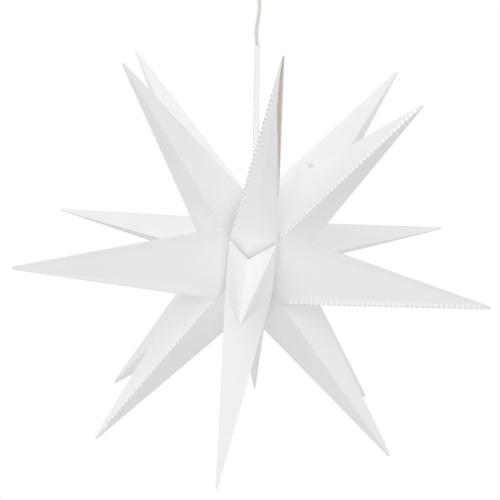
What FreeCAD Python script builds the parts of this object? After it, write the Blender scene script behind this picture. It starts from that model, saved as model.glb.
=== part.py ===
import FreeCAD, Part
import math
import os

import Sketcher
from FreeCAD import Matrix, Placement, Rotation, Vector

# Hanging star lantern: eighteen hollow points of folded white plastic sheet round a lamp, on a
# cord from a ceiling rose. +Z is up, -Y is the front, and the origin is the centre of the
# rose's flat ceiling face. Millimetres and degrees.

doc = FreeCAD.newDocument("star_pendant")
sheet = doc.addObject("Spreadsheet::Sheet", "sizes")

SIZES = {
    # the star as a whole
    "star_drop": 440,            # ceiling to the star's centre
    "point_reach": 300,          # star's centre to a point's tip
    "star_dip": 37,              # how far the front point hangs below level
    "star_roll": 4.4,            # how far the star hangs crooked, clockwise from the front
    "skin": 0.6,                 # wall of the folded sheet
    "tip_blunt": 11,             # how far a point's facets would run on past its blunt end
    # the hollow core that the points stand on, in the star's own frame
    "core_shift": 2,             # how far the core lies left of the middle of the tips
    "core_sink": 7,              # and below it
    "square_half_width": 29,     # the front and back squares
    "square_half_height": 31,
    "square_depth": 50,
    "crown_rise": 75,            # core's centre to its top and bottom corners
    "flank_reach": 58,           # and to its left and right corners
    "corner_out": 70,            # its four outer corners
    "corner_rise": 72,
    "shoulder": 18,              # how far up a corner point's ridges a side point's base reaches
    "gusset_drop": 23,           # middle of the edge over the front square, folded down
    "gusset_shift": 4,           # and to the left
    # the cord and the flat point that it runs down
    "cord_width": 5,
    "running_gap": 0.3,
    "blade_end_depth": 9,        # the flat point's open end, front to back
    # ceiling rose
    "rose_radius": 42,
    "rose_rim": 13,              # straight edge of the cover
    "rose_depth": 30,
    "rose_wall": 2,
    "rose_round": 7,             # rounding of the cover's shoulder
    "rose_foot_radius": 15,      # flat bottom of the cover
    "plate": 4,                  # floor of the base
    "base_rim": 4,
    "base_rim_high": 8.5,
    "ceiling_hole_spacing": 50,
    "ceiling_hole": 4.6,
    "cable_entry": 13,
    "cable_entry_back": 22,      # cable entry, behind the centre
    "cover_screw_drop": 5,
    # the parts inside the rose
    "boss_spacing": 28,
    "boss": 6,
    "boss_drop": 17,
    "clamp_width": 8,
    "clamp_thick": 3,
    "block_width": 19,           # terminal block
    "block_deep": 14,
    "block_high": 13,
    "pole_spacing": 9,
    "pole_screw": 3.6,
    "small_screw": 3,            # thread of the cover and clamp screws
    "small_head": 5.4,
    "small_head_high": 2,
    # bell-mouth gland
    "gland_neck": 10,
    "gland_collar": 18,
    "gland_collar_thick": 2.5,
    "gland_drop": 50,            # ceiling to the bell's mouth
    "gland_throat_drop": 38,
    "gland_mouth": 21,
    "gland_lip": 1.6,
    "nut": 19,
    "nut_thick": 3.5,
    "side_pivot_drop": 40,
    "front_pivot_drop": 52,
    # lampholder
    "seat_rise": 50.7,           # star's centre to the top of the holder's cap
    "holder": 27,
    "holder_wall": 1.8,
    "cap_high": 24,
    "cap_top": 15,               # flat top of the cap
    "cap_slope": 6,
    "body_mouth": 23,
    "thread_lap": 5,             # the body's neck inside the cap
    "insert": 21.4,
    "insert_thick": 4,
    "sleeve": 14.9,              # brass thread sleeve, outside
    "sleeve_wall": 0.3,
    "sleeve_high": 20,
    "grip_width": 17,
    "grip_deep": 9,
    "grip_thick": 4,
    "grip_drop": 6,              # cord grip below the top of the cap
    "wire_screw": 3.4,
    "wire_screw_spacing": 13,
    # bulb
    "bulb": 27.6,
    "bulb_bottom": 38,           # star's centre to the end of the glass
    "glass": 0.8,
    "glass_neck": 12.6,
    "glass_shoulder": 12,        # from the cap down to the full width
    "bulb_cap": 13.7,
    "bulb_cap_high": 21,
    "bulb_cap_wall": 0.4,
    "insulator_high": 3,
    "tip_contact": 4.6,
    "tip_contact_high": 1.6,
    "stem": 5,
    "stem_high": 15,
    "filament_span": 12,
    "filament_drop": 13,
    "filament_wire": 0.8,
}
for row, (alias, value) in enumerate(SIZES.items(), start=1):
    sheet.set("A%d" % row, alias)
    sheet.set("B%d" % row, str(value))
    sheet.setAlias("B%d" % row, alias)
doc.recompute()


class Size:
    """A length that carries both its value and the sheet formula that gives it."""

    def __init__(self, value, formula):
        self.value = value
        self.formula = formula

    def __float__(self):
        return float(self.value)

    def __add__(self, other):
        other = as_size(other)
        return Size(self.value + other.value, "(%s + %s)" % (self.formula, other.formula))

    def __sub__(self, other):
        other = as_size(other)
        return Size(self.value - other.value, "(%s - %s)" % (self.formula, other.formula))

    def __mul__(self, factor):
        return Size(self.value * factor, "(%s * %s)" % (self.formula, factor))

    def __truediv__(self, factor):
        return self * (1 / factor)

    def __neg__(self):
        return self * -1


def as_size(value):
    return value if isinstance(value, Size) else Size(value, str(value))


def size(alias):
    return Size(float(sheet.get(alias)), "sizes." + alias)


def number(alias):
    return float(sheet.get(alias))


def bind(thing, **properties):
    """Ties properties such as Radius, or Placement__Base__z, to the sheet."""
    for name, value in properties.items():
        if isinstance(value, Size):
            thing.setExpression(name.replace("__", "."), value.formula)


def place(thing, at, turn=Rotation()):
    """Puts a thing at three sizes or numbers, each size tied to the sheet."""
    thing.Placement = Placement(Vector(*(float(length) for length in at)), turn)
    bind(thing, Placement__Base__x=at[0], Placement__Base__y=at[1], Placement__Base__z=at[2])
    return thing


# ---------------------------------------------------------------- shapes used again and again

subparts = []                    # the finished sub-parts, each with its own Label
UP = Rotation()
DOWN = Rotation(Vector(1, 0, 0), 180)
RIGHT = Rotation(Vector(0, 1, 0), 90)
LEFT = Rotation(Vector(0, 1, 0), -90)
BACK = Rotation(Vector(1, 0, 0), -90)


def finished(thing, label):
    thing.Label = label
    subparts.append(thing)
    return thing


def origin_plane(body, role):
    return next(item for item in body.Origin.OriginFeatures if item.Role == role)


def turned(name, corners):
    """A body turned about Z from an outline of radius and height pairs."""
    body = doc.addObject("PartDesign::Body", name)
    sketch = body.newObject("Sketcher::SketchObject", name + "_outline")
    sketch.AttachmentSupport = [(origin_plane(body, "XZ_Plane"), "")]
    sketch.MapMode = "FlatFace"
    places = [Vector(float(radius), float(height), 0) for radius, height in corners]
    for start, end in zip(places, places[1:] + places[:1]):
        sketch.addGeometry(Part.LineSegment(start, end))
    for index, (radius, height) in enumerate(corners):
        before = (index - 1) % len(corners)
        sketch.addConstraint(Sketcher.Constraint("Coincident", before, 2, index, 1))
        for kind, value, axis in (("DistanceX", radius, -2), ("DistanceY", height, -1)):
            if isinstance(value, Size):
                tie = Sketcher.Constraint(kind, -1, 1, index, 1, float(value))
                order = sketch.addConstraint(tie)
                sketch.setExpression("Constraints[%d]" % order, value.formula)
            else:
                sketch.addConstraint(Sketcher.Constraint("PointOnObject", index, 1, axis))
    turn = body.newObject("PartDesign::Revolution", name + "_turned")
    turn.Profile = sketch
    turn.ReferenceAxis = (sketch, ["V_Axis"])
    turn.Angle = 360
    return body


def round_rims(body, radius, rims):
    """Rounds the circular edges that lie at the given radius and height pairs."""
    doc.recompute()
    base = body.Tip
    names = []
    for order, edge in enumerate(base.Shape.Edges, start=1):
        if not isinstance(edge.Curve, Part.Circle):
            continue
        for rim_radius, height in rims:
            near = abs(edge.Curve.Radius - float(rim_radius)) + abs(edge.Curve.Center.z - float(height))
            if near < 0.01:
                names.append("Edge%d" % order)
    fillet = body.newObject("PartDesign::Fillet", body.Name + "_rounded")
    fillet.Base = (base, names)
    bind(fillet, Radius=radius)
    fillet.Radius = float(radius)
    body.Tip = fillet


def rod(name, diameter, length, foot, turn=UP):
    """A cylinder from its foot, along the way that turn gives."""
    piece = doc.addObject("Part::Cylinder", name)
    bind(piece, Radius=diameter / 2, Height=length)
    return place(piece, foot, turn)


def block(name, wide, deep, high, foot):
    """A box that stands on the middle of its bottom face."""
    piece = doc.addObject("Part::Box", name)
    bind(piece, Length=wide, Width=deep, Height=high)
    return place(piece, (as_size(foot[0]) - wide / 2, as_size(foot[1]) - deep / 2, foot[2]))


def together(name, pieces):
    fuse = doc.addObject("Part::MultiFuse", name)
    fuse.Shapes = pieces
    return fuse


def group(name, pieces):
    """Separate solids that share a node."""
    compound = doc.addObject("Part::Compound", name)
    compound.Links = pieces
    return compound


def without(name, base, tools):
    cut = doc.addObject("Part::Cut", name)
    cut.Base = base
    cut.Tool = tools[0] if len(tools) == 1 else together(name + "_removed", tools)
    return cut


def pan_screw(name, reach, seat, turn):
    """A small screw whose head sits on seat, with its shank along turn."""
    back = turn.multiply(DOWN)
    head = rod(name + "_head", size("small_head"), size("small_head_high"), seat, back)
    shank = rod(name + "_shank", size("small_screw"), reach, seat, turn)
    return together(name, [head, shank])


# ---------------------------------------------------------------- ceiling rose

gap = size("running_gap")
cord = size("cord_width")
rose_inside = size("rose_radius") - size("rose_wall")
base_radius = rose_inside - gap
rose_floor = size("rose_depth") - size("rose_wall")
rim_drop = size("rose_rim")
rim_screw_hole = size("small_screw") + gap


def rose_cover():
    """A turned shell with a rounded shoulder, a hole for the gland and two screw holes."""
    outer_round = size("rose_round")
    body = turned("cover_shell", [
        (size("rose_radius"), 0),
        (size("rose_radius"), -rim_drop),
        (size("rose_foot_radius"), -size("rose_depth")),
        (size("gland_neck") / 2 + gap / 2, -size("rose_depth")),
        (size("gland_neck") / 2 + gap / 2, -rose_floor),
        (size("rose_foot_radius"), -rose_floor),
        (rose_inside, -rim_drop),
        (rose_inside, 0),
    ])
    round_rims(body, outer_round, [(size("rose_radius"), -rim_drop), (rose_inside, -rim_drop)])
    holes = []
    for side, turn in ((-1, RIGHT), (1, LEFT)):
        foot = ((size("rose_radius") + gap) * side, 0, -size("cover_screw_drop"))
        holes.append(rod("cover_hole", rim_screw_hole, size("rose_wall") * 2, foot, turn))
    finished(without("cover", body, holes), "rose_cover")


def cover_screws():
    screws = []
    for side, turn in ((-1, RIGHT), (1, LEFT)):
        seat = (size("rose_radius") * side, 0, -size("cover_screw_drop"))
        reach = size("rose_wall") + gap + size("base_rim")
        screws.append(pan_screw("cover_screw", reach, seat, turn))
    finished(group("cover_screw_pair", screws), "cover_screws")


def rose_base():
    """A plate with a rim for the cover's screws and two bosses for the cord clamp."""
    body = turned("base_plate", [
        (base_radius, 0),
        (base_radius, -size("base_rim_high")),
        (base_radius - size("base_rim"), -size("base_rim_high")),
        (base_radius - size("base_rim"), -size("plate")),
        (0, -size("plate")),
        (0, 0),
    ])
    bosses = []
    holes = []
    for side, turn in ((-1, RIGHT), (1, LEFT)):
        at_boss = size("boss_spacing") / 2 * side
        bosses.append(rod("boss", size("boss"), size("boss_drop"), (at_boss, 0, 0), DOWN))
        blind = size("boss_drop") - size("plate")
        holes.append(rod("boss_hole", size("small_screw"), blind, (at_boss, 0, -size("boss_drop"))))
        at_hole = size("ceiling_hole_spacing") / 2 * side
        holes.append(rod("ceiling_hole", size("ceiling_hole"), size("boss_drop"),
                         (at_hole, 0, gap), DOWN))
        foot = ((base_radius + gap) * side, 0, -size("cover_screw_drop"))
        holes.append(rod("rim_hole", size("small_screw"), size("base_rim") + gap * 2, foot, turn))
    entry = (0, size("cable_entry_back"), gap)
    holes.append(rod("entry", size("cable_entry"), size("boss_drop"), entry, DOWN))
    solid = together("base_with_bosses", [body] + bosses)
    finished(without("base", solid, holes), "rose_base")


def cord_clamp():
    """A bar on the bosses, with the cord squeezed in its hole."""
    top = size("boss_drop")
    bottom = -(top + size("clamp_thick"))
    wide = size("boss_spacing") + size("clamp_width")
    bar = block("clamp_bar", wide, size("clamp_width"), size("clamp_thick"), (0, 0, bottom))
    holes = [rod("cord_hole", cord, size("clamp_thick"), (0, 0, bottom))]
    screws = []
    for side in (-1, 1):
        seat = (size("boss_spacing") / 2 * side, 0, bottom)
        holes.append(rod("clamp_hole", size("small_screw"), size("clamp_thick"), seat))
        screws.append(pan_screw("clamp_screw", size("clamp_thick") * 3, seat, UP))
    finished(without("clamp", bar, holes), "cord_clamp")
    finished(group("clamp_screw_pair", screws), "clamp_screws")


def terminal_block():
    """A two-pole block under the base; the cord ends in its bottom face."""
    bottom = -(size("plate") + size("block_high"))
    front = -size("block_deep") / 2
    housing = block("block_housing", size("block_width"), size("block_deep"), size("block_high"),
                    (0, 0, bottom))
    holes = []
    screws = []
    for side in (-1, 1):
        for level in (1 / 4, 3 / 4):
            at = (size("pole_spacing") / 2 * side, front, bottom + size("block_high") * level)
            holes.append(rod("pole_hole", size("pole_screw") + gap, size("block_deep") / 2, at, BACK))
            sunk = (at[0], front + size("skin"), at[2])
            deep = size("block_deep") / 2 - size("skin")
            screws.append(rod("pole_screw", size("pole_screw"), deep, sunk, BACK))
    finished(without("terminals", housing, holes), "terminal_block")
    finished(group("pole_screws", screws), "terminal_screws")


def gland():
    """A bell mouth that lets the cord lean any way, with a threaded neck held by a nut."""
    neck = size("gland_neck") / 2
    collar_top = size("rose_depth")
    collar_bottom = collar_top + size("gland_collar_thick")
    neck_top = rose_floor - size("nut_thick") - size("skin")
    bore = cord / 2 + gap
    mouth = size("gland_mouth") / 2
    body = turned("bell", [
        (bore, -neck_top),
        (neck, -neck_top),
        (neck, -collar_top),
        (size("gland_collar") / 2, -collar_top),
        (size("gland_collar") / 2, -collar_bottom),
        (neck, -collar_bottom),
        (neck + gap, -size("gland_throat_drop")),
        (mouth + size("gland_lip"), -size("gland_drop")),
        (mouth, -size("gland_drop")),
        (bore, -size("gland_throat_drop")),
    ])
    finished(body, "cord_gland")
    nut = doc.addObject("Part::Prism", "nut_blank")
    nut.Polygon = 6
    bind(nut, Circumradius=size("nut") / 2, Height=size("nut_thick"))
    place(nut, (0, 0, -rose_floor))
    bore_through = rod("nut_bore", size("gland_neck"), size("nut_thick"), (0, 0, -rose_floor))
    finished(without("nut", nut, [bore_through]), "gland_nut")


rose_cover()
cover_screws()
rose_base()
cord_clamp()
terminal_block()
gland()

# ---------------------------------------------------------------- cord

holder_top = size("seat_rise") - size("star_drop")     # height of the cap's top
grip_top = holder_top - size("grip_drop")
ROUTE = [                        # the hanging cord's route: x and z, always at y = 0
    (0, -number("front_pivot_drop")),
    (2.4, -70),
    (0.9, -90),
    (-2.6, -115),
    (0, -134),
    (0, float(grip_top) - number("grip_thick")),
]
BEND_SHARE = 0.45                # share of the shorter run that a bend takes


def straight_cord(label, top, bottom, ball=False):
    """A vertical length of cord; one that hangs from a pivot has a ball for its top."""
    length = rod(label + "_run", cord, top - bottom, (0, 0, bottom))
    if not ball:
        return finished(length, label)
    end = doc.addObject("Part::Sphere", label + "_ball")
    bind(end, Radius=cord / 2)
    place(end, (0, 0, top))
    return finished(together(label + "_joined", [length, end]), label)


def hanging_cord(label):
    """A tube along straight runs and tangent arcs, from the ball at the bell's mouth down."""
    points = [Vector(x, 0, z) for x, z in ROUTE]
    edges = []
    start = points[0]
    for before, corner, after in zip(points, points[1:], points[2:]):
        arriving = corner - before
        leaving = after - corner
        turn = arriving.getAngle(leaving)
        reach = BEND_SHARE * min(arriving.Length, leaving.Length)
        print("cord bend radius %.0f mm" % (reach / math.tan(turn / 2)))
        first = corner - arriving * (reach / arriving.Length)
        last = corner + leaving * (reach / leaving.Length)
        inward = (leaving / leaving.Length - arriving / arriving.Length).normalize()
        radius = reach / math.tan(turn / 2)
        middle = corner + inward * (radius / math.cos(turn / 2) - radius)
        edges.append(Part.LineSegment(start, first).toShape())
        edges.append(Part.Arc(first, middle, last).toShape())
        start = last
    edges.append(Part.LineSegment(start, points[-1]).toShape())
    path = Part.Wire(edges)
    section = Part.Wire(Part.Circle(points[0], points[1] - points[0], float(cord) / 2).toShape())
    tube = path.makePipeShell([section], True, True)
    expected = math.pi * float(cord) ** 2 / 4 * path.Length
    print("cord length %.1f mm, volume %.4f of section times length" % (path.Length,
                                                                     tube.Volume / expected))
    ball = Part.makeSphere(float(cord) / 2, points[0])
    feature = doc.addObject("Part::Feature", label + "_tube")
    feature.Shape = tube.fuse(ball).removeSplitter()
    return finished(feature, label)


block_bottom = -(size("plate") + size("block_high"))
ball_room = cord / 2 + gap
straight_cord("cord_inner", block_bottom, ball_room - size("side_pivot_drop"))
straight_cord("cord_head", -size("side_pivot_drop"), ball_room - size("front_pivot_drop"), ball=True)
hanging_cord("cord")

# ---------------------------------------------------------------- lampholder

cap_bottom = holder_top - size("cap_high")
lap_top = cap_bottom + size("thread_lap")
holder_radius = size("holder") / 2
cap_inside = holder_radius - size("holder_wall")
neck_radius = cap_inside - gap
insert_bottom = lap_top + size("skin")
insert_top = insert_bottom + size("insert_thick")
contact_bottom = insert_bottom - size("insulator_high") / 3
cap_top = contact_bottom - gap - size("tip_contact_high") - size("insulator_high")
cap_foot = cap_top - size("bulb_cap_high")              # where the bulb's glass begins
body_bottom = cap_foot + gap


def holder_cap():
    """The holder's cap: a cup upside down, with a hole for the cord."""
    slope_bottom = holder_top - size("cap_slope")
    ceiling = holder_top - size("holder_wall")
    hole = cord / 2 + gap
    body = turned("cap_shell", [
        (holder_radius, cap_bottom),
        (holder_radius, slope_bottom),
        (size("cap_top") / 2, holder_top),
        (hole, holder_top),
        (hole, ceiling),
        (size("cap_top") / 2 - size("holder_wall") / 2, ceiling),
        (cap_inside, slope_bottom - size("holder_wall") / 2),
        (cap_inside, cap_bottom),
    ])
    round_rims(body, size("holder_wall"), [(holder_radius, slope_bottom)])
    finished(body, "holder_cap")


def holder_body():
    """The skirt round the bulb's cap, with a neck that screws into the holder's cap."""
    sleeve_room = size("sleeve") / 2 + gap
    mouth = size("body_mouth") / 2
    body = turned("body_skirt", [
        (sleeve_room, body_bottom),
        (mouth, body_bottom),
        (holder_radius - size("skin"), cap_bottom - gap - size("holder_wall") * 2),
        (holder_radius, cap_bottom - gap - size("holder_wall") * 2),
        (holder_radius, cap_bottom - gap),
        (neck_radius, cap_bottom - gap),
        (neck_radius, lap_top),
        (sleeve_room, lap_top),
    ])
    finished(body, "holder_body")


def holder_insert():
    """The round carrier of the contacts, on the body's neck, with the wires' two screws."""
    disc = rod("insert_disc", size("insert"), size("insert_thick"), (0, 0, insert_bottom))
    holes = []
    screws = []
    for side in (-1, 1):
        foot = (size("wire_screw_spacing") / 2 * side, 0, insert_top - size("insert_thick") / 2)
        holes.append(rod("wire_hole", size("wire_screw"), size("insert_thick"), foot))
        screws.append(rod("wire_screw", size("wire_screw"), size("insert_thick"), foot))
    finished(without("insert", disc, holes), "holder_insert")
    finished(group("wire_screws", screws), "holder_screws")


def holder_sleeve():
    """The brass sleeve that the bulb screws into, hung from the insert by its turned-in top."""
    outside = size("sleeve") / 2
    inside = outside - size("sleeve_wall")
    bottom = insert_bottom - size("sleeve_high")
    opening = size("tip_contact")
    body = turned("sleeve_shell", [
        (outside, bottom),
        (outside, insert_bottom),
        (opening, insert_bottom),
        (opening, insert_bottom - size("sleeve_wall")),
        (inside, insert_bottom - size("sleeve_wall")),
        (inside, bottom),
    ])
    finished(body, "holder_sleeve")
    spring = rod("spring_pad", size("tip_contact"), size("insulator_high") / 3,
                 (0, 0, insert_bottom), DOWN)
    finished(spring, "holder_contact")


def cord_grip():
    """A block on the cord's end that is too big for the cap's hole, and so carries the star."""
    bottom = grip_top - size("grip_thick")
    bar = block("grip_bar", size("grip_width"), size("grip_deep"), size("grip_thick"),
                (0, 0, bottom))
    through = rod("grip_bore", cord, size("grip_thick"), (0, 0, bottom))
    post_high = grip_top - insert_top - size("grip_thick")
    finished(without("grip", bar, [through]), "cord_grip")
    posts = []
    for side in (-1, 1):
        at = (size("wire_screw_spacing") / 2 * side, 0, bottom)
        posts.append(rod("grip_post", size("wire_screw"), post_high - size("insert_thick"), at, DOWN))
    finished(group("grip_posts", posts), "grip_screws")


holder_cap()
holder_body()
holder_insert()
holder_sleeve()
cord_grip()

# ---------------------------------------------------------------- bulb

glass_end = -(size("star_drop") + size("bulb_bottom"))
WIRE_LEAN = 20                   # degrees that the filament's supports lean outward


def bulb():
    """A small screw bulb: cap, insulator, tip, glass, stem and filament."""
    cap_radius = size("bulb_cap") / 2
    cap_bore = cap_radius - size("bulb_cap_wall")
    tip_radius = size("tip_contact") / 2
    cap = turned("screw_cap", [
        (cap_radius, cap_foot),
        (cap_radius, cap_top),
        (tip_radius * 2, cap_top),
        (tip_radius * 2, cap_top - size("bulb_cap_wall")),
        (cap_bore, cap_top - size("bulb_cap_wall")),
        (cap_bore, cap_foot),
    ])
    finished(cap, "bulb_cap")
    insulator = turned("insulator_cone", [
        (0, cap_top),
        (tip_radius * 2 + size("bulb_cap_wall"), cap_top),
        (tip_radius, cap_top + size("insulator_high")),
        (0, cap_top + size("insulator_high")),
    ])
    finished(insulator, "bulb_insulator")
    tip = rod("tip_pad", size("tip_contact"), size("tip_contact_high"),
              (0, 0, cap_top + size("insulator_high")))
    finished(tip, "bulb_contact")

    outside = size("bulb") / 2
    inside = outside - size("glass")
    neck = size("glass_neck") / 2
    shoulder = cap_foot - size("glass_shoulder")
    glass = turned("glass_shell", [
        (neck, cap_foot),
        (outside, shoulder),
        (outside, glass_end),
        (0, glass_end),
        (0, glass_end + size("glass")),
        (inside, glass_end + size("glass")),
        (inside, shoulder),
        (neck - size("glass"), cap_foot),
    ])
    round_rims(glass, size("bulb") * 0.42, [(outside, glass_end)])
    round_rims(glass, size("bulb") * 0.39, [(inside, glass_end + size("glass"))])
    finished(glass, "bulb_glass")

    stem = turned("stem_post", [
        (0, cap_foot),
        (neck - size("glass"), cap_foot),
        (size("stem") / 2, cap_foot - size("stem") / 2),
        (size("stem") / 2, cap_foot - size("stem_high")),
        (0, cap_foot - size("stem_high")),
    ])
    finished(stem, "bulb_stem")
    wires = []
    wire_top = cap_foot - size("stem_high") - size("filament_wire") / 2 * math.sin(math.radians(WIRE_LEAN))
    for side in (-1, 1):
        lean = Rotation(Vector(0, 1, 0), -side * WIRE_LEAN).multiply(DOWN)
        foot = (size("filament_wire") * side, 0, wire_top)
        wires.append(rod("support", size("filament_wire"), size("filament_drop"), foot, lean))
    span = rod("filament_run", size("filament_wire"), size("filament_span"),
               (-size("filament_span") / 2, 0, cap_foot - size("stem_high") - size("filament_drop") * 0.9),
               RIGHT)
    finished(together("filament_joined", wires + [span]), "bulb_filament")


bulb()

# ---------------------------------------------------------------- star

tilt = Rotation(Vector(1, 0, 0), number("star_dip")) * Rotation(Vector(0, 1, 0), number("star_roll"))
star_place = Placement(Vector(0, 0, -number("star_drop")), tilt)
core_offset = Vector(-number("core_shift"), 0, -number("core_sink"))
skin = number("skin")
blade_half = (number("cord_width") / 2) + number("running_gap") + skin
slot_height = -number("star_drop") + number("seat_rise") + number("running_gap") + skin * 2

# Where each point's tip lies: degrees from the front round to the right, and degrees up. The
# first pair is the regular star, the second is how far the folded sheet leans away from it.
ring_side = 57.5
corner_side = 58.7
corner_up = 47.6
TIPS = {
    "front": ((0, 0), (-1.8, -0.3)),
    "front_top": ((0, ring_side), (4.3, 0)),
    "front_bottom": ((0, -ring_side), (-6.3, 4.5)),
    "front_left": ((-ring_side, 0), (-9.3, -3)),
    "front_right": ((ring_side, 0), (10.5, -3)),
    "front_upper_left": ((-corner_side, corner_up), (3.2, 1.4)),
    "front_upper_right": ((corner_side, corner_up), (-6.4, -2.9)),
    "front_lower_left": ((-corner_side, -corner_up), (4.5, 1.5)),
    "front_lower_right": ((corner_side, -corner_up), (-2.8, 4.4)),
    "back": ((180, 0), (0, 0)),
    "back_bottom": ((180, -ring_side), (-6.8, 1.5)),
    "back_left": ((ring_side - 180, 0), (6, 0)),
    "back_right": ((180 - ring_side, 0), (-1.7, 3)),
    "back_upper_left": ((corner_side - 180, corner_up), (1.8, 1.1)),
    "back_upper_right": ((180 - corner_side, corner_up), (1.3, 1.7)),
    "back_lower_left": ((corner_side - 180, -corner_up), (4.3, -1.5)),
    "back_lower_right": ((180 - corner_side, -corner_up), (0, 0)),
}


def tip_direction(name):
    (around, up), (lean_around, lean_up) = TIPS[name]
    around = math.radians(around + lean_around)
    up = math.radians(up + lean_up)
    level = math.cos(up)
    way = Vector(math.sin(around) * level, -math.cos(around) * level, math.sin(up))
    return tilt.multVec(way)


def core_point(x, y, z):
    """A corner of the core, from the star's own frame to its place in the room."""
    return star_place.multVec(Vector(x, y, z) + core_offset)


def core_corners():
    """Every corner of the core by name; left is -1, right is 1, down is -1, up is 1."""
    wide, deep, high = (number("square_half_" + side) if side != "depth" else number("square_depth")
                        for side in ("width", "depth", "height"))
    corners = {}
    for side in (-1, 1):
        corners["flank", side] = core_point(side * number("flank_reach"), 0, 0)
        for up in (-1, 1):
            corners["front", side, up] = core_point(side * wide, -deep, up * high)
            corners["back", side, up] = core_point(side * wide, deep, up * high)
            corners["crown", side, up] = core_point(0, 0, up * number("crown_rise"))
            corners["outer", side, up] = core_point(side * number("corner_out"), 0,
                                                    up * number("corner_rise"))
        # the slot that the cord drops through lies level, on top of the lampholder
        for name in ("back", "crown"):
            corner = corners[name, side, 1]
            corners[name, side, 1] = Vector(side * blade_half, corner.y, slot_height)
    corners["gusset"] = core_point(-number("gusset_shift"), -deep, high - number("gusset_drop"))
    return corners


corners = core_corners()
core_centre = core_point(0, 0, 0)
reach = number("point_reach")
star_centre = star_place.Base


def apex(name):
    return star_centre + tip_direction(name) * (reach + number("tip_blunt"))


def side_name(side):
    return "left" if side < 0 else "right"


def up_name(up):
    return "lower" if up < 0 else "upper"


def shoulder(side, up, foot):
    """The place on a front corner point's ridge that the side point's base reaches."""
    top = apex("front_%s_%s" % (up_name(up), side_name(side)))
    along = top - foot
    return foot + along * (number("shoulder") / along.Length)


def rings():
    """Each point's base: the core corners that it stands on, in order."""
    ring = {
        "front": [corners["front", -1, 1], corners["front", -1, -1], corners["front", 1, -1],
                  corners["front", 1, 1], corners["gusset"]],
        "front_top": [corners["front", -1, 1], corners["gusset"], corners["front", 1, 1],
                      corners["crown", 1, 1], corners["crown", -1, 1]],
        "back": [corners["back", -1, 1], corners["back", -1, -1], corners["back", 1, -1],
                 corners["back", 1, 1]],
    }
    for face in ("front", "back"):
        ring[face + "_bottom"] = [corners[face, -1, -1], corners[face, 1, -1],
                                  corners["crown", 1, -1]]
        for side in (-1, 1):
            flank = corners["flank", side]
            low = corners[face, side, -1]
            high = corners[face, side, 1]
            if face == "front":
                beside = [shoulder(side, -1, low), shoulder(side, -1, flank), flank,
                          shoulder(side, 1, flank), shoulder(side, 1, high)]
            else:
                beside = [flank]
            ring["%s_%s" % (face, side_name(side))] = [high, low] + beside
            for up in (-1, 1):
                name = "%s_%s_%s" % (face, up_name(up), side_name(side))
                ring[name] = [corners[face, side, up], corners["crown", side, up],
                              corners["outer", side, up], flank]
    return ring


def closed(triangles):
    """A solid from the triangles of its skin."""
    faces = [Part.Face(Part.makePolygon([a, b, c, a])) for a, b, c in triangles]
    shell = Part.makeShell(faces)
    shell.sewShape()
    solid = Part.Solid(shell)
    if solid.Volume < 0:
        solid.reverse()
    return solid


def spike(top, ring, root):
    """The solid between a point's apex, its base ring and a place inside the core."""
    pairs = list(zip(ring, ring[1:] + ring[:1]))
    return closed([(top, a, b) for a, b in pairs] + [(root, b, a) for a, b in pairs])


def inset(top, ring):
    """The move that brings a point's facets inward by one skin, as evenly as it can."""
    middle = sum(ring, Vector()) / len(ring)
    total = [[0.0] * 3 for row in range(3)]
    pull = Vector()
    for a, b in zip(ring, ring[1:] + ring[:1]):
        normal = (a - top).cross(b - top).normalize()
        if normal * (a - middle) < 0:
            normal = -normal
        pull -= normal * skin
        for row in range(3):
            for column in range(3):
                total[row][column] += normal[row] * normal[column]
    square = Matrix(*total[0], 0, *total[1], 0, *total[2], 0, 0, 0, 0, 1)
    return square.inverse().multVec(pull)


def beyond(way, start):
    """The room past a blunt end, as a wide cylinder."""
    return Part.makeCylinder(reach / 4, reach / 4, star_centre + way * start, way)


def hollow_point(name, ring, neighbours):
    """One folded point: facets of sheet from the base ring to a blunt, closed end."""
    top = apex(name)
    way = tip_direction(name)
    past_core = 1.3
    outer = spike(top, ring, core_centre).cut(beyond(way, reach))
    move = inset(top, ring)
    room_ring = [top + move + (corner - top) * past_core for corner in ring]
    room_root = top + move + (core_centre - top) * past_core
    room = spike(top + move, room_ring, room_root).cut(beyond(way, reach - skin))
    shell = outer.cut(room)
    for neighbour in neighbours:
        shell = shell.cut(neighbour)
    feature = doc.addObject("Part::Feature", "folded_" + name)
    feature.Shape = shell
    return finished(feature, "point_" + name)


def hanger_point():
    """The top back point, drawn flat round the cord: two broad facets and two narrow edges."""
    end_height = -number("star_drop") + reach
    half_end = number("blade_end_depth") / 2
    front = corners["crown", 1, 1].y
    back = corners["back", 1, 1].y
    outline = [Vector(0, front, slot_height), Vector(0, back, slot_height),
               Vector(0, half_end, end_height), Vector(0, -half_end, end_height)]
    half = Vector(blade_half, 0, 0)
    outer = Part.Face(Part.makePolygon([corner - half for corner in outline + outline[:1]]))
    outer = outer.extrude(half * 2)
    rails = []
    for foot, top, inward in ((outline[0], outline[3], 1), (outline[1], outline[2], -1)):
        along = (top - foot).normalize()
        step = Vector(0, inward * skin / along.z, 0)
        rails.append((foot + step - along * reach / 10, top + step + along * reach / 10))
    inside = Vector(blade_half - skin, 0, 0)
    room_outline = [rails[0][0], rails[1][0], rails[1][1], rails[0][1], rails[0][0]]
    room = Part.Face(Part.makePolygon([corner - inside for corner in room_outline]))
    feature = doc.addObject("Part::Feature", "folded_hanger")
    feature.Shape = outer.cut(room.extrude(inside * 2))
    return finished(feature, "point_back_top")


def star():
    ring = rings()
    for name in TIPS:
        neighbours = []
        parts_of_name = name.split("_")
        if parts_of_name[0] == "front" and len(parts_of_name) == 3:
            beside = "front_" + parts_of_name[2]
            neighbours.append(spike(apex(beside), ring[beside], core_centre))
        hollow_point(name, ring[name], neighbours)
    hanger_point()


star()

# ---------------------------------------------------------------- writing the sub-parts

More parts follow.
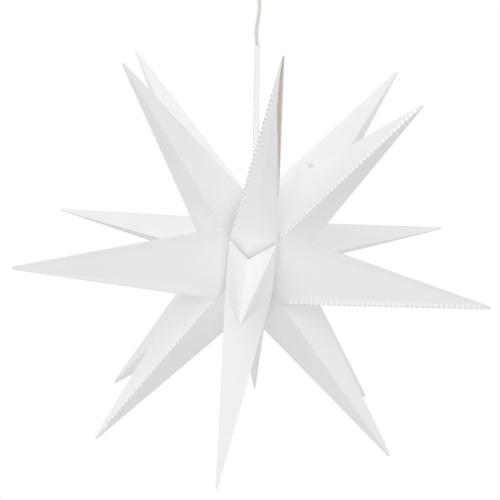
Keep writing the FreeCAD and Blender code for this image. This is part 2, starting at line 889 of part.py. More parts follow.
doc.recompute()
for thing in doc.Objects:
    if "Invalid" in thing.State or "Error" in thing.State:
        raise RuntimeError("%s (%s) failed: %s" % (thing.Name, thing.Label, thing.State))
for thing in subparts:
    if thing.Shape.isNull() or not thing.Shape.isValid():
        raise RuntimeError("%s has no valid shape" % thing.Label)
os.makedirs("parts", exist_ok=True)
for thing in subparts:
    thing.Shape.exportStep("parts/%s.step" % thing.Label)
    print("%-28s %9.1f mm3 %2d solid(s)" % (thing.Label, thing.Shape.Volume, len(thing.Shape.Solids)))
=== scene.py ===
import math

import bmesh
import bpy
from mathutils import Matrix, Quaternion, Vector, geometry, noise


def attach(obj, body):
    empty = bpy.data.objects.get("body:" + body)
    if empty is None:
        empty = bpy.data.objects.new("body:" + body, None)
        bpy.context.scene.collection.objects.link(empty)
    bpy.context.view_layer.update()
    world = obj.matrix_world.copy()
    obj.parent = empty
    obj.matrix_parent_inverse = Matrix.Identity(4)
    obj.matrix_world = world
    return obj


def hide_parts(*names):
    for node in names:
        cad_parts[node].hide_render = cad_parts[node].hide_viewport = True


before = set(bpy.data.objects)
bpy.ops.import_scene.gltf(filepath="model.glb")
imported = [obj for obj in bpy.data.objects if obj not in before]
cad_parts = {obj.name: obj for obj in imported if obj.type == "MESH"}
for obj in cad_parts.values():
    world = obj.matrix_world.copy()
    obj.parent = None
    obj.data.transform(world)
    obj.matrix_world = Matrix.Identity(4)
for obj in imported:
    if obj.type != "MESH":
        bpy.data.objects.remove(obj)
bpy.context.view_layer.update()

# ------------------------------------------------------------------ camera
# The photograph was taken from below the star, straight in front, with a long lens. The picture
# leans by one degree and the star hangs just right of its middle.
MM = 0.001
star_centre = Vector((0, 0, -440)) * MM
PICTURE_SIDE = 500               # pixels
STAR_AT = (253.9, 250.2)         # where the star's centre lies in the picture, in pixels
camera_place = Vector((17.1, -1243.3, -965.7)) * MM
camera_lean = math.radians(1.0)
lens = bpy.data.cameras.new("photo_lens")
lens.sensor_width = 36
lens.lens = 77.7
lens.shift_x = (PICTURE_SIDE / 2 - STAR_AT[0]) / PICTURE_SIDE
lens.shift_y = (STAR_AT[1] - PICTURE_SIDE / 2) / PICTURE_SIDE
lens.clip_end = 50
camera = bpy.data.objects.new("photo_camera", lens)
aim = (star_centre - camera_place).to_track_quat("-Z", "Y")
camera.rotation_mode = "QUATERNION"
camera.rotation_quaternion = aim @ Quaternion((0, 0, 1), camera_lean)
camera.location = camera_place
bpy.context.scene.collection.objects.link(camera)
bpy.context.scene.camera = camera


# ------------------------------------------------------------------ the cord
# Flat white twin flex: two cores side by side under one PVC sheath, 5 mm wide, with a groove
# between them. It leaves the rose's bell mouth, kinks a little, and drops inside the flat top
# point to the grip in the lampholder. PVC shows a soft sheen, and its white drifts to a faint grey
# in patches.
CORD_WIDTH = 5 * MM
CORE_RADIUS = 1.35 * MM
CORD_ROUTE = [(0, -52), (2.4, -70), (0.9, -90), (-2.6, -115), (0, -134), (0, -399.3)]  # x, z
SHEATH_WHITE = 0xF3F2EE
SHEATH_GREY = 0xDEDCD6
WEB_DEEP = 0.55                  # the web's thickness between the cores, as a share of a core's
RING_STEPS = 16
NOISE_SPAN = (0.25, 0.75)        # where nearly all of a noise texture's values lie
GLOSS_DRIFT = 0.06               # how far the roughness wanders with the colour


def linear(colour):
    """An sRGB hex colour as the linear values that shaders take."""
    parts = [(colour >> shift & 255) / 255 for shift in (16, 8, 0)]
    return [part / 12.92 if part <= 0.04045 else ((part + 0.055) / 1.055) ** 2.4
            for part in parts] + [1.0]


def add(owner, kind, inputs=(), **settings):
    """Adds a node to a material or world, and feeds its inputs with values or other sockets."""
    node = owner.node_tree.nodes.new(kind)
    for name, value in settings.items():
        setattr(node, name, value)
    for name, value in dict(inputs).items():
        if isinstance(value, bpy.types.NodeSocket):
            owner.node_tree.links.new(value, node.inputs[name])
        else:
            node.inputs[name].default_value = value
    return node


def surface(name, light, dark, patch, grain, relief, roughness, ior=1.5, metallic=0.0):
    """A material that drifts between two colours over patches, with a fine raised grain."""
    material = bpy.data.materials.new(name)
    material.use_nodes = True
    shader = material.node_tree.nodes["Principled BSDF"]
    shader.inputs["IOR"].default_value = ior
    shader.inputs["Metallic"].default_value = metallic
    where = add(material, "ShaderNodeTexCoord").outputs["Object"]
    drift = add(material, "ShaderNodeTexNoise",
                {"Vector": where, "Scale": 1 / patch, "Detail": 3.0, "Roughness": 0.55})
    colour = add(material, "ShaderNodeMix",
                 {0: drift.outputs["Fac"], 6: linear(dark), 7: linear(light)}, data_type="RGBA")
    material.node_tree.links.new(colour.outputs[2], shader.inputs["Base Color"])
    gloss = add(material, "ShaderNodeMapRange",
                {"Value": drift.outputs["Fac"],
                 "From Min": NOISE_SPAN[0], "From Max": NOISE_SPAN[1],
                 "To Min": roughness - GLOSS_DRIFT, "To Max": roughness + GLOSS_DRIFT})
    material.node_tree.links.new(gloss.outputs[0], shader.inputs["Roughness"])
    speckle = add(material, "ShaderNodeTexNoise",
                  {"Vector": where, "Scale": 1 / grain, "Detail": 2.0})
    bump = add(material, "ShaderNodeBump",
               {"Height": speckle.outputs["Fac"], "Strength": 1.0, "Distance": relief})
    material.node_tree.links.new(bump.outputs[0], shader.inputs["Normal"])
    return material


def piece(name, bm, materials, body, nodes=()):
    """Makes a mesh an object that rides a body and stands for its nodes."""
    mesh = bpy.data.meshes.new(name)
    bm.to_mesh(mesh)
    bm.free()
    mesh.shade_smooth()
    mesh.set_sharp_from_angle(angle=math.radians(28))
    for material in materials:
        mesh.materials.append(material)
    thing = bpy.data.objects.new(name, mesh)
    bpy.context.scene.collection.objects.link(thing)
    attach(thing, body)
    if nodes:
        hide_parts(*nodes)
    return thing


def dress(material, *nodes):
    """Gives CAD nodes a finished material."""
    for name in nodes:
        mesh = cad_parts[name].data
        mesh.materials.clear()
        mesh.materials.append(material)


def route_line():
    """Points along the smooth line that the route's control points draw."""
    curve = bpy.data.curves.new("cord_route", "CURVE")
    curve.dimensions = "3D"
    spline = curve.splines.new("NURBS")
    spline.points.add(len(CORD_ROUTE) - 1)
    for point, (x, z) in zip(spline.points, CORD_ROUTE):
        point.co = (x * MM, 0, z * MM, 1)
    spline.order_u = 3
    spline.use_endpoint_u = True
    spline.resolution_u = 16
    holder = bpy.data.objects.new("cord_route", curve)
    line = bpy.data.meshes.new_from_object(holder)
    points = [vertex.co.copy() for vertex in line.vertices]
    bpy.data.meshes.remove(line)
    bpy.data.objects.remove(holder)
    bpy.data.curves.remove(curve)
    return points


def twin_flex(points):
    """Two cores and the web between them, each a ring pulled along the cord's line."""
    bm = bmesh.new()
    offset = CORD_WIDTH / 2 - CORE_RADIUS
    for centre, wide, deep in ((-offset, CORE_RADIUS, CORE_RADIUS),
                               (offset, CORE_RADIUS, CORE_RADIUS),
                               (0, offset, CORE_RADIUS * WEB_DEEP)):
        ring = bmesh.ops.create_circle(bm, segments=RING_STEPS, radius=1.0)["verts"]
        for vertex in ring:
            vertex.co = points[0] + Vector((centre + vertex.co.x * wide, vertex.co.y * deep, 0))
        loop = list(dict.fromkeys(edge for vertex in ring for edge in vertex.link_edges))
        bmesh.ops.contextual_create(bm, geom=loop)
        for before, after in zip(points, points[1:]):
            pulled = bmesh.ops.extrude_edge_only(bm, edges=loop)["geom"]
            moved = [item for item in pulled if isinstance(item, bmesh.types.BMVert)]
            bmesh.ops.translate(bm, verts=moved, vec=after - before)
            loop = [item for item in pulled if isinstance(item, bmesh.types.BMEdge)
                    and all(vertex in moved for vertex in item.verts)]
        bmesh.ops.contextual_create(bm, geom=loop)
    bmesh.ops.recalc_face_normals(bm, faces=bm.faces)
    return bm


sheath = surface("white PVC flex sheath", SHEATH_WHITE, SHEATH_GREY, 9 * MM, 0.9 * MM, 0.03 * MM,
                 0.42, ior=1.53)
cord_line = route_line()
cord = piece("cord_flex", twin_flex(cord_line), [sheath], "lamp", ["cord"])
dress(sheath, "cord_head", "cord_inner")

# ------------------------------------------------------------------ the star's frame
# The star hangs by its top back point, so it dips forward and leans a little. Its eighteen
# points stand on a hollow core, each on the corners that its base edges share with the next.
POINT_REACH = 300 * MM           # star's centre to a tip
TIP_BLUNT = 11 * MM              # how far the facets would run on past a blunt end
SKIN = 0.6 * MM
star_dip = math.radians(37)
star_roll = math.radians(4.4)
CORE_OFFSET = Vector((-2, 0, -7))
SQUARE = (29, 50, 31)            # half width, depth and half height of the front and back squares
CROWN_RISE = 75
FLANK_REACH = 58
OUTER = (70, 72)                 # the four outer corners, out and up
SHOULDER = 18 * MM
GUSSET = (4, 23)                 # the edge over the front square, folded left and down
RING_SIDE = 57.5                 # degrees round or up from the front or back point
CORNER_SIDE = 58.7
CORNER_UP = 47.6
BLADE_HALF = 3.4 * MM            # half the flat top point's width
SLOT_HEIGHT = -387.8 * MM
# degrees round and up of each tip, and how far the folded sheet leans away from there
TIPS = {
    "front": ((0, 0), (-1.8, -0.3)),
    "front_top": ((0, RING_SIDE), (4.3, 0)),
    "front_bottom": ((0, -RING_SIDE), (-6.3, 4.5)),
    "front_left": ((-RING_SIDE, 0), (-9.3, -3)),
    "front_right": ((RING_SIDE, 0), (10.5, -3)),
    "front_upper_left": ((-CORNER_SIDE, CORNER_UP), (3.2, 1.4)),
    "front_upper_right": ((CORNER_SIDE, CORNER_UP), (-6.4, -2.9)),
    "front_lower_left": ((-CORNER_SIDE, -CORNER_UP), (4.5, 1.5)),
    "front_lower_right": ((CORNER_SIDE, -CORNER_UP), (-2.8, 4.4)),
    "back": ((180, 0), (0, 0)),
    "back_bottom": ((180, -RING_SIDE), (-6.8, 1.5)),
    "back_left": ((RING_SIDE - 180, 0), (6, 0)),
    "back_right": ((180 - RING_SIDE, 0), (-1.7, 3)),
    "back_upper_left": ((CORNER_SIDE - 180, CORNER_UP), (1.8, 1.1)),
    "back_upper_right": ((180 - CORNER_SIDE, CORNER_UP), (1.3, 1.7)),
    "back_lower_left": ((CORNER_SIDE - 180, -CORNER_UP), (4.3, -1.5)),
    "back_lower_right": ((180 - CORNER_SIDE, -CORNER_UP), (0, 0)),
}
star_turn = Matrix.Rotation(star_dip, 3, "X") @ Matrix.Rotation(star_roll, 3, "Y")


def tip_way(name):
    around, up = (math.radians(sum(pair)) for pair in zip(*TIPS[name]))
    return star_turn @ Vector((math.sin(around) * math.cos(up), -math.cos(around) * math.cos(up),
                               math.sin(up)))


def apex(name):
    return star_centre + tip_way(name) * (POINT_REACH + TIP_BLUNT)


def core_point(x, y, z):
    return star_centre + star_turn @ ((Vector((x, y, z)) + CORE_OFFSET) * MM)


wide, deep, high = SQUARE
corners = {}
for side in (-1, 1):
    corners["flank", side] = core_point(side * FLANK_REACH, 0, 0)
    for up in (-1, 1):
        corners["front", side, up] = core_point(side * wide, -deep, up * high)
        corners["back", side, up] = core_point(side * wide, deep, up * high)
        corners["crown", side, up] = core_point(0, 0, up * CROWN_RISE)
        corners["outer", side, up] = core_point(side * OUTER[0], 0, up * OUTER[1])
    for name in ("back", "crown"):
        corner = corners[name, side, 1]
        corners[name, side, 1] = Vector((side * BLADE_HALF, corner.y, SLOT_HEIGHT))
corners["gusset"] = core_point(-GUSSET[0], -deep, high - GUSSET[1])


def shoulder(side, up, foot):
    """Where a side point's base meets the ridge of the corner point beside it."""
    corner_name = "front_%s_%s" % ("upper" if up > 0 else "lower",
                                   "right" if side > 0 else "left")
    return foot + (apex(corner_name) - foot).normalized() * SHOULDER


rings = {
    "front": [corners["front", -1, 1], corners["front", -1, -1], corners["front", 1, -1],
              corners["front", 1, 1], corners["gusset"]],
    "front_top": [corners["front", -1, 1], corners["gusset"], corners["front", 1, 1],
                  corners["crown", 1, 1], corners["crown", -1, 1]],
    "back": [corners["back", -1, 1], corners["back", -1, -1], corners["back", 1, -1],
             corners["back", 1, 1]],
}
for face in ("front", "back"):
    rings[face + "_bottom"] = [corners[face, -1, -1], corners[face, 1, -1], corners["crown", 1, -1]]
    for side, side_name in ((-1, "left"), (1, "right")):
        flank = corners["flank", side]
        low, high_corner = corners[face, side, -1], corners[face, side, 1]
        beside = [flank]
        if face == "front":
            beside = [shoulder(side, -1, low), shoulder(side, -1, flank), flank,
                      shoulder(side, 1, flank), shoulder(side, 1, high_corner)]
        rings["%s_%s" % (face, side_name)] = [high_corner, low] + beside
        for up, up_name in ((-1, "lower"), (1, "upper")):
            rings["%s_%s_%s" % (face, up_name, side_name)] = [
                corners[face, side, up], corners["crown", side, up], corners["outer", side, up],
                flank]

# ------------------------------------------------------------------ the folded points
# Each point is one die-cut piece of matt white polypropylene sheet, scored and folded into
# facets. Its last edge carries a comb of tabs that push through slots in the first facet,
# which leaves a row of raised white tabs and small slots along one ridge. The thin sheet lets
# some light through; that light is a painted glow on the sheet, which keeps folds and valleys pale.
RIDGE_ROUND = 0.9 * MM
COMB_PITCH = 6.2 * MM
TAB_WIDTH = 3.6 * MM
COMB_START = 12 * MM
NARROWEST = 6.5 * MM             # the narrowest facet that still carries a tab
WAVE = 1.0 * MM                  # how far a facet bows or hollows
WAVE_LENGTH = 75 * MM
RIDGE_STIFF = (2 * MM, 14 * MM)  # no bowing this near a ridge, and how soon it is free after that
BASE_STIFF = (3 * MM, 25 * MM)
SHEET_WHITE = 0xF5F5F6
SHEET_SHADE = 0xEDEDED
# the inside faces' colour, greyer and warmer than the face: painted shade
SHEET_INSIDE_PAINTED_SHADE = 0xCFCAC5
SHEET_GRAIN = (60 * MM, 1.1 * MM, 0.02 * MM)     # patches, grain and how high the grain stands
SHEET_IOR = 1.49
# the tabs' colour, whiter than the sheet: a painted highlight on the raised tabs
TAB_PAINTED_HIGHLIGHT = 0xFFFFFF
# colours of the painted glow, emission that stands in for light passing through the sheet
PAINTED_GLOW_WHITE = 0xFDFDFF
PAINTED_GLOW_WARM = 0xC4BEB7          # painted glow of the inside, warm because it sees only its own facets
# grey of the painted shadow and the dark dot
SPOT_GREY = 0x8F8F99
SPOT_CORE = 0.4                 # the share of a spot's size that is evenly dark
# soft grey spots painted on the sheet: the first two a painted shadow in a valley between two upper
# right points, the third a small dark dot; place and size in millimetres, and strength
DARK_SPOTS = [
    ((70, -41, -342), 5.5, 0.3),
    ((54, -41, -352), 6, 0.12),
    ((-67, -6, -513), 1.4, 0.5),
]
TAB_FINISH = 2                   # the tabs' place among a sheet's materials
FLAT_ENOUGH = math.cos(math.radians(22))   # facets that lean less than this share a flat
TAB_LIFT = SKIN * 0.3            # how far a tab's root lies off the sheet
BASE_LAP = 1.5 * MM              # how far the sheets run on behind their neighbours
# each look: where the slots begin and end beside the ridge, where the tabs do, and how high
# the tabs' free ends stand
TABS = (0.3 * MM, 0.9 * MM, 0.6 * MM, 5.2 * MM, 0.8 * MM)
DOTS = (0.3 * MM, 1.1 * MM, 0.6 * MM, 3.0 * MM, 0.3 * MM)
# each point's seam: the ridge, by its corner's order in the base ring, how many corners on or
# back lies the one that the tabs point to, and the seam's look
SEAMS = {
    "front": (1, 1, DOTS),
    "front_top": (0, 1, DOTS),
    "front_bottom": (1, 1, DOTS),
    "front_left": (4, 1, TABS),
    "front_right": (2, -3, TABS),
    "front_upper_left": (2, 1, TABS),
    "front_upper_right": (0, 1, TABS),
    "front_lower_left": (0, -1, DOTS),
    "front_lower_right": (2, 1, TABS),
    "back": (1, 1, TABS),
    "back_bottom": (1, 1, TABS),
    "back_left": (0, 1, TABS),
    "back_right": (0, 1, TABS),
    "back_upper_left": (0, -1, TABS),
    "back_upper_right": (3, -1, TABS),
    "back_lower_left": (2, 1, DOTS),
    "back_lower_right": (0, -1, TABS),
}
SPRUNG = {"front_top": (2, -1)}  # a seam that has come open
SPRUNG_SHARES = (0.29, 0.75, 1)  # where its gap begins, is widest and ends, along the ridge
SPRUNG_GAP = 6.2 * MM


def cut(bm, faces, place, way):
    """Scores the given faces, or the whole mesh, along a plane."""
    if faces is None:
        geom = bm.verts[:] + bm.edges[:] + bm.faces[:]
    else:
        geom = list(dict.fromkeys(part for face in faces
                                  for part in [face] + face.edges[:] + face.verts[:]))
    bmesh.ops.bisect_plane(bm, geom=geom, dist=1e-6, plane_co=place, plane_no=way)


def folded(foot_ring, top_ring, capped):
    """Facets from one ring of corners to the other, with a mark on each for its order."""
    bm = bmesh.new()
    order = bm.faces.layers.int.new("facet")
    feet = [bm.verts.new(corner) for corner in foot_ring]
    count = len(feet)
    base = [bm.edges.new((feet[i], feet[(i + 1) % count])) for i in range(count)]
    pulled = bmesh.ops.extrude_edge_only(bm, edges=base)["geom"]
    moved = [item for item in pulled if isinstance(item, bmesh.types.BMVert)]
    for vertex in moved:
        nearest = min(range(count), key=lambda i: (foot_ring[i] - vertex.co).length)
        vertex.co = top_ring[nearest]
    for index, edge in enumerate(base):
        edge.link_faces[0][order] = index + 1
    if capped:
        rim = [item for item in pulled if isinstance(item, bmesh.types.BMEdge)
               and all(vertex in moved for vertex in item.verts)]
        bmesh.ops.contextual_create(bm, geom=rim)
    bmesh.ops.recalc_face_normals(bm, faces=bm.faces)
    bm.normal_update()
    middle = sum(foot_ring, Vector()) / count
    halfway = middle.lerp(sum(top_ring, Vector()) / count, 0.5)
    sample = base[0].link_faces[0]
    if sample.normal.dot(sample.calc_center_median() - halfway) < 0:
        bmesh.ops.reverse_faces(bm, faces=bm.faces)
    return bm


class Ridge:
    """A ridge's line, the flat beside it, and the rows that a comb divides them into."""

    def __init__(self, foot_ring, top_ring, ridge, step):
        count = len(foot_ring)
        self.foot = foot_ring[ridge]
        beside = foot_ring[(ridge + step) % count]
        beside_top = top_ring[(ridge + step) % count]
        self.length = (top_ring[ridge] - self.foot).length
        self.along = (top_ring[ridge] - self.foot).normalized()
        across = beside - self.foot
        self.across = (across - self.along * across.dot(self.along)).normalized()
        self.out = self.along.cross(self.across)
        if self.out.dot(self.foot - sum(foot_ring, Vector()) / count) < 0:
            self.out.negate()
        self.widths = (across.dot(self.across),
                       (beside_top - top_ring[ridge]).dot(self.across))
        self.rows = []
        place = COMB_START
        while place + COMB_PITCH < self.length and self.width_at(place) > NARROWEST:
            self.rows.append(place)
            place += COMB_PITCH

    def width_at(self, distance):
        share = distance / self.length
        return self.widths[0] * (1 - share) + self.widths[1] * share

    def on_flat(self, bm):
        bm.normal_update()
        return [face for face in bm.faces if face.normal.dot(self.out) > FLAT_ENOUGH]

    def score(self, bm, distances):
        """Cuts the mesh along the rows, and the flat along lines beside the ridge."""
        for row in self.rows:
            cut(bm, None, self.foot + self.along * row, self.along)
            cut(bm, None, self.foot + self.along * (row + TAB_WIDTH), self.along)
        for distance in distances:
            cut(bm, self.on_flat(bm), self.foot + self.across * distance, self.across)

    def strip(self, bm, start, end, tab_rows, gap_rows):
        """The faces between two lines beside the ridge, in the tabs' rows or between them."""
        chosen = []
        for face in self.on_flat(bm):
            place = face.calc_center_median() - self.foot
            height = place.dot(self.along) - self.rows[0]
            in_tab = height % COMB_PITCH < TAB_WIDTH
            if (0 < height < self.rows[-1] - self.rows[0] + TAB_WIDTH
                    and start < place.dot(self.across) < end
                    and (tab_rows if in_tab else gap_rows)):
                chosen.append(face)
        return chosen


def comb_seam(bm, ridge, look):
    """Opens slots beside the ridge and lifts the tabs between them off the facet."""
    slot_from, slot_to, tab_from, tab_to, stand = look
    ridge.score(bm, sorted({slot_from, slot_to, tab_from, tab_to}))
    tabs = ridge.strip(bm, tab_from, tab_to, True, False)
    raised = bmesh.ops.duplicate(bm, geom=tabs)["geom"]
    for item in raised:
        if isinstance(item, bmesh.types.BMVert):
            lift = ((item.co - ridge.foot).dot(ridge.across) - tab_from) / (tab_to - tab_from)
            item.co += ridge.out * (TAB_LIFT + stand * lift)
        if isinstance(item, bmesh.types.BMFace):
            item.material_index = TAB_FINISH
    slots = ridge.strip(bm, slot_from, slot_to, False, True)
    bmesh.ops.delete(bm, geom=slots, context="FACES")


def sprung_seam(bm, ridge):
    """A seam that has come open: the flat's edge has drawn back, so the inside shows."""
    start, widest, end = (share * ridge.length for share in SPRUNG_SHARES)
    bends = [(start, 0), (widest, SPRUNG_GAP), (end, SPRUNG_GAP / 2)]
    spots = [ridge.foot + ridge.along * along + ridge.across * across for along, across in bends]
    cut(bm, None, spots[0], ridge.along)
    cut(bm, None, spots[1], ridge.along)
    for before, after in zip(spots, spots[1:]):
        cut(bm, ridge.on_flat(bm), before, ridge.out.cross(after - before))
    opened = []
    for face in ridge.on_flat(bm):
        place = face.calc_center_median() - ridge.foot
        for (low, near), (high, far) in zip(bends, bends[1:]):
            share = (place.dot(ridge.along) - low) / (high - low)
            if 0 < share < 1 and place.dot(ridge.across) < near + (far - near) * share:
                opened.append(face)
    bmesh.ops.delete(bm, geom=opened, context="FACES")


def crease_ease(place, foot_ring, top_ring):
    """How free the sheet is to bow at a place: not at all on a crease, fully well away from it."""
    ridge_gap, base_gap = 1.0, 1.0
    for index, (foot, top) in enumerate(zip(foot_ring, top_ring)):
        nearest, share = geometry.intersect_point_line(place, foot, top)
        ridge_gap = min(ridge_gap, (place - nearest).length)
        after = foot_ring[(index + 1) % len(foot_ring)]
        nearest, share = geometry.intersect_point_line(place, foot, after)
        nearest = foot.lerp(after, min(1.0, max(0.0, share)))
        base_gap = min(base_gap, (place - nearest).length)
    free_of_ridge = min(1.0, max(0.0, ridge_gap - RIDGE_STIFF[0]) / RIDGE_STIFF[1])
    free_of_base = min(1.0, max(0.0, base_gap - BASE_STIFF[0]) / BASE_STIFF[1])
    return free_of_ridge * free_of_base


def point_sheet(name, foot_ring, top_ring, capped, seam):
    """A whole point: facets, rounded ridges, comb seam, and the slight waves of real sheet."""
    foot_ring = [foot if abs(foot.z - SLOT_HEIGHT) < 1e-6
                 else foot + (foot - top).normalized() * BASE_LAP
                 for foot, top in zip(foot_ring, top_ring)]
    bm = folded(foot_ring, top_ring, capped)
    order = bm.faces.layers.int["facet"]
    count = len(foot_ring)
    number, step, look = seam
    open_ridges = [number, SPRUNG[name][0]] if name in SPRUNG else [number]
    creases = []
    for edge in bm.edges:
        feet = [(vertex.co - foot_ring[index]).length < 1e-6
                for vertex in edge.verts for index in open_ridges]
        if len(edge.link_faces) == 2 and not any(feet):
            creases.append(edge)
    bmesh.ops.bevel(bm, geom=creases, offset=RIDGE_ROUND, segments=3, profile=0.5, affect="EDGES",
                    material=-1, clamp_overlap=True)
    comb_seam(bm, Ridge(foot_ring, top_ring, number, step), look)
    if name in SPRUNG:
        sprung_seam(bm, Ridge(foot_ring, top_ring, *SPRUNG[name]))
    # each facet is cut in thirds lengthways, so that it can bow between its creases
    for index in range(count):
        after = (index + 1) % count
        for share in (1 / 3, 2 / 3):
            foot = foot_ring[index].lerp(foot_ring[after], share)
            top = top_ring[index].lerp(top_ring[after], share)
            faces = [face for face in bm.faces if face[order] == index + 1]
            normal = (foot_ring[after] - foot_ring[index]).cross(top - foot)
            cut(bm, faces, foot, normal.cross(top - foot))
    bm.normal_update()
    moves = []
    for vertex in bm.verts:
        wave = noise.noise(vertex.co / WAVE_LENGTH) * WAVE
        moves.append((vertex, vertex.normal * wave * crease_ease(vertex.co, foot_ring, top_ring)))
    for vertex, move in moves:
        vertex.co += move
    sheet = piece("sheet_" + name, bm, [sheet_face, sheet_inside_painted_shade, sheet_tab_painted_highlight, sheet_inside_painted_shade],
                  "star", ["point_" + name])
    wall = sheet.modifiers.new("wall", "SOLIDIFY")
    wall.thickness = SKIN
    wall.offset = -1
    wall.material_offset = 1
    wall.use_even_offset = True


def paint_glow(material, colour, share):
    """Paints a glow on a sheet: emission that stands in for the light a thin white sheet lets
    through from its other side.
    """
    shader = material.node_tree.nodes["Principled BSDF"]
    shader.inputs["Emission Color"].default_value = linear(colour)
    shader.inputs["Emission Strength"].default_value = share


def dark_spot(material, place, size, strength):
    """Darkens a sheet softly round a place on it."""
    shader = material.node_tree.nodes["Principled BSDF"]
    clean = shader.inputs["Base Color"].links[0].from_socket
    where = add(material, "ShaderNodeTexCoord").outputs["Object"]
    gap = add(material, "ShaderNodeVectorMath", {0: where, 1: Vector(place) * MM},
              operation="DISTANCE")
    share = add(material, "ShaderNodeMapRange",
                {"Value": gap.outputs["Value"], "From Min": size * SPOT_CORE * MM,
                 "From Max": size * MM, "To Min": strength, "To Max": 0.0})
    marked = add(material, "ShaderNodeMix",
                 {0: share.outputs[0], 6: clean, 7: linear(SPOT_GREY)}, data_type="RGBA")
    material.node_tree.links.new(marked.outputs[2], shader.inputs["Base Color"])


# a matt face with a soft sheen, an inside painted greyer and warmer as painted shade, and tabs
# painted whiter as a painted highlight
sheet_face = surface("white polypropylene sheet", SHEET_WHITE, SHEET_SHADE, *SHEET_GRAIN, 0.48,
                     ior=SHEET_IOR)
sheet_inside_painted_shade = surface("white polypropylene sheet inside, painted shade", SHEET_INSIDE_PAINTED_SHADE, SHEET_INSIDE_PAINTED_SHADE,
                       *SHEET_GRAIN, 0.6, ior=SHEET_IOR)
sheet_tab_painted_highlight = surface("white polypropylene tab, painted highlight", TAB_PAINTED_HIGHLIGHT, TAB_PAINTED_HIGHLIGHT,
                    *SHEET_GRAIN, 0.42, ior=SHEET_IOR)
# darkens the sheet round each spot: painted shadow in a valley, and a small dark dot
for place, size, strength in DARK_SPOTS:
    dark_spot(sheet_face, place, size, strength)
# painted glow on the face, the tabs and the inside, which keeps folds and valleys pale
paint_glow(sheet_face, PAINTED_GLOW_WHITE, 0.13)
paint_glow(sheet_tab_painted_highlight, PAINTED_GLOW_WHITE, 0.15)
paint_glow(sheet_inside_painted_shade, PAINTED_GLOW_WARM, 0.34)
for name, ring in rings.items():
    tip = apex(name)
    way = tip_way(name)
    tops = []
    for corner in ring:
        reach_here = (star_centre + way * POINT_REACH - corner).dot(way) / (tip - corner).dot(way)
        tops.append(corner.lerp(tip, reach_here))
    point_sheet(name, ring, tops, True, SEAMS[name])

# ------------------------------------------------------------------ the flat hanging point
# The top back point is drawn flat by the cord that runs down inside it: two broad facets a
# cord's width apart and two narrow edges, open at its end, with a comb along its front edge.
END_HALF = 4.5 * MM
end_height = star_centre.z + POINT_REACH
front_y, back_y = corners["crown", 1, 1].y, corners["back", 1, 1].y
blade_sides = (-BLADE_HALF, BLADE_HALF, BLADE_HALF, -BLADE_HALF)
blade_foot = [Vector((x, y, SLOT_HEIGHT))
              for x, y in zip(blade_sides, (front_y, front_y, back_y, back_y))]
blade_top = [Vector((x, y, end_height))
             for x, y in zip(blade_sides, (-END_HALF, -END_HALF, END_HALF, END_HALF))]
point_sheet("back_top", blade_foot, blade_top, False, (0, 1, DOTS))

# ------------------------------------------------------------------ ceiling rose
# A white moulded dome over a moulded base plate, with a bell mouth that keeps the flex from
# bending sharply and a clamp and terminal block inside. Moulded ABS: satin, faintly uneven.
moulding = surface("white moulded ABS", 0xF4F3EF, 0xEBEAE5, 40 * MM, 1.2 * MM, 0.02 * MM, 0.38,
                   ior=1.53)
nylon = surface("natural nylon moulding", 0xE9E4D6, 0xDDD7C6, 12 * MM, 0.9 * MM, 0.03 * MM, 0.45,
                ior=1.53)
zinc = surface("zinc plated steel", 0xC9CCCF, 0xAEB2B6, 2 * MM, 0.5 * MM, 0.02 * MM, 0.32,
               metallic=1.0)
brass = surface("turned brass", 0xD8B878, 0xB8944F, 3 * MM, 0.5 * MM, 0.02 * MM, 0.3, metallic=1.0)
dress(moulding, "rose_cover", "rose_base", "cord_gland", "gland_nut", "holder_cap", "holder_body")
dress(nylon, "cord_clamp", "terminal_block", "cord_grip")
dress(zinc, "cover_screws", "clamp_screws", "grip_screws")
dress(brass, "terminal_screws", "holder_screws", "holder_sleeve", "holder_contact")

# ------------------------------------------------------------------ lampholder and bulb
# A small screw holder on the cord's end carries the star by its top slot. The bulb's cap is
# nickelled brass; its glass is frosted inside, so it shows white and soft.
steatite = surface("glazed ceramic insert", 0xEFECE4, 0xE2DED4, 8 * MM, 0.7 * MM, 0.02 * MM, 0.25,
                   ior=1.55)
nickel = surface("nickel plated brass", 0xCFCBC2, 0xB5B0A6, 3 * MM, 0.4 * MM, 0.02 * MM, 0.24,
                 metallic=1.0)
vitrite = surface("black vitrite glass", 0x17171A, 0x222226, 2 * MM, 0.5 * MM, 0.02 * MM, 0.2,
                  ior=1.55)
solder = surface("lead free solder", 0xB9BBBD, 0x9FA1A3, 1.5 * MM, 0.4 * MM, 0.05 * MM, 0.35,
                 metallic=1.0)
tungsten = surface("tungsten wire", 0x6E6A66, 0x57534F, 1 * MM, 0.3 * MM, 0.02 * MM, 0.4,
                   metallic=1.0)
frosted = surface("frosted soda glass", 0xF3F3F1, 0xECECEA, 10 * MM, 0.6 * MM, 0.02 * MM, 0.35,
                  ior=1.52)
clear = surface("clear glass stem", 0xE4ECEA, 0xDCE6E3, 5 * MM, 0.6 * MM, 0.01 * MM, 0.08, ior=1.52)
dress(steatite, "holder_insert")
dress(nickel, "bulb_cap")
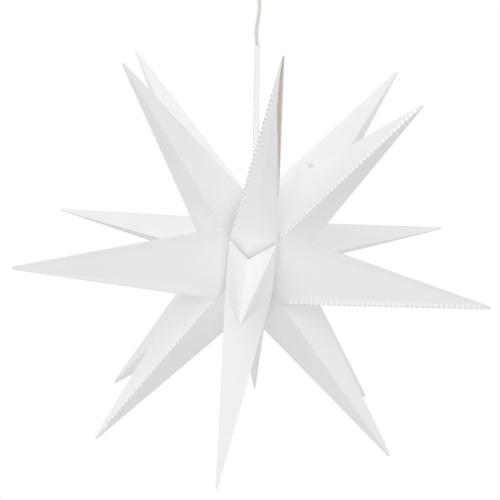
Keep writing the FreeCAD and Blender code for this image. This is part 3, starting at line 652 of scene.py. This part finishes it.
dress(vitrite, "bulb_insulator")
dress(solder, "bulb_contact")
dress(tungsten, "bulb_filament")
dress(frosted, "bulb_glass")
dress(clear, "bulb_stem")

# ------------------------------------------------------------------ room and light
# A plain white studio: a pale floor well below the star, a white room all round that gives
# most of the light, and three soft lights in front: high on the left, on the right, and level.
FLOOR_HEIGHT = -1.9
FLOOR_REACH = 6
bm = bmesh.new()
bmesh.ops.create_grid(bm, x_segments=1, y_segments=1, size=FLOOR_REACH,
                      matrix=Matrix.Translation((0, 0, FLOOR_HEIGHT)))
floor_mesh = bpy.data.meshes.new("studio_floor")
bm.to_mesh(floor_mesh)
bm.free()
floor_mesh.materials.append(surface("pale studio floor", 0xF0F0EE, 0xEAEAE8, 400 * MM, 5 * MM,
                                    0.05 * MM, 0.7))
floor = bpy.data.objects.new("studio_floor", floor_mesh)
bpy.context.scene.collection.objects.link(floor)

AMBIENT = 0.62
# each light: its place from the star's centre and its side in metres, and its power in watts
STUDIO = [
    ("key_light", (-1.3, -1.6, 1.3), 1.2, 8),
    ("right_light", (1.4, -1.7, 0.7), 1.2, 4),
    ("front_light", (-0.6, -2.4, -0.2), 1.4, 7),
]
world = bpy.data.worlds.new("white studio")
world.use_nodes = True
bpy.context.scene.world = world
seen = add(world, "ShaderNodeLightPath").outputs["Is Camera Ray"]
room = add(world, "ShaderNodeMix",
           {0: seen, 6: (AMBIENT, AMBIENT, AMBIENT, 1), 7: (1, 1, 1, 1)}, data_type="RGBA")
world.node_tree.links.new(room.outputs[2], world.node_tree.nodes["Background"].inputs["Color"])
for name, place, side, watts in STUDIO:
    lamp = bpy.data.lights.new(name, "AREA")
    lamp.size = side
    lamp.energy = watts
    holder = bpy.data.objects.new(name, lamp)
    holder.location = star_centre + Vector(place)
    holder.rotation_mode = "QUATERNION"
    holder.rotation_quaternion = (-Vector(place)).to_track_quat("-Z", "Y")
    holder.visible_camera = False
    bpy.context.scene.collection.objects.link(holder)
bpy.context.scene.view_settings.view_transform = "Standard"
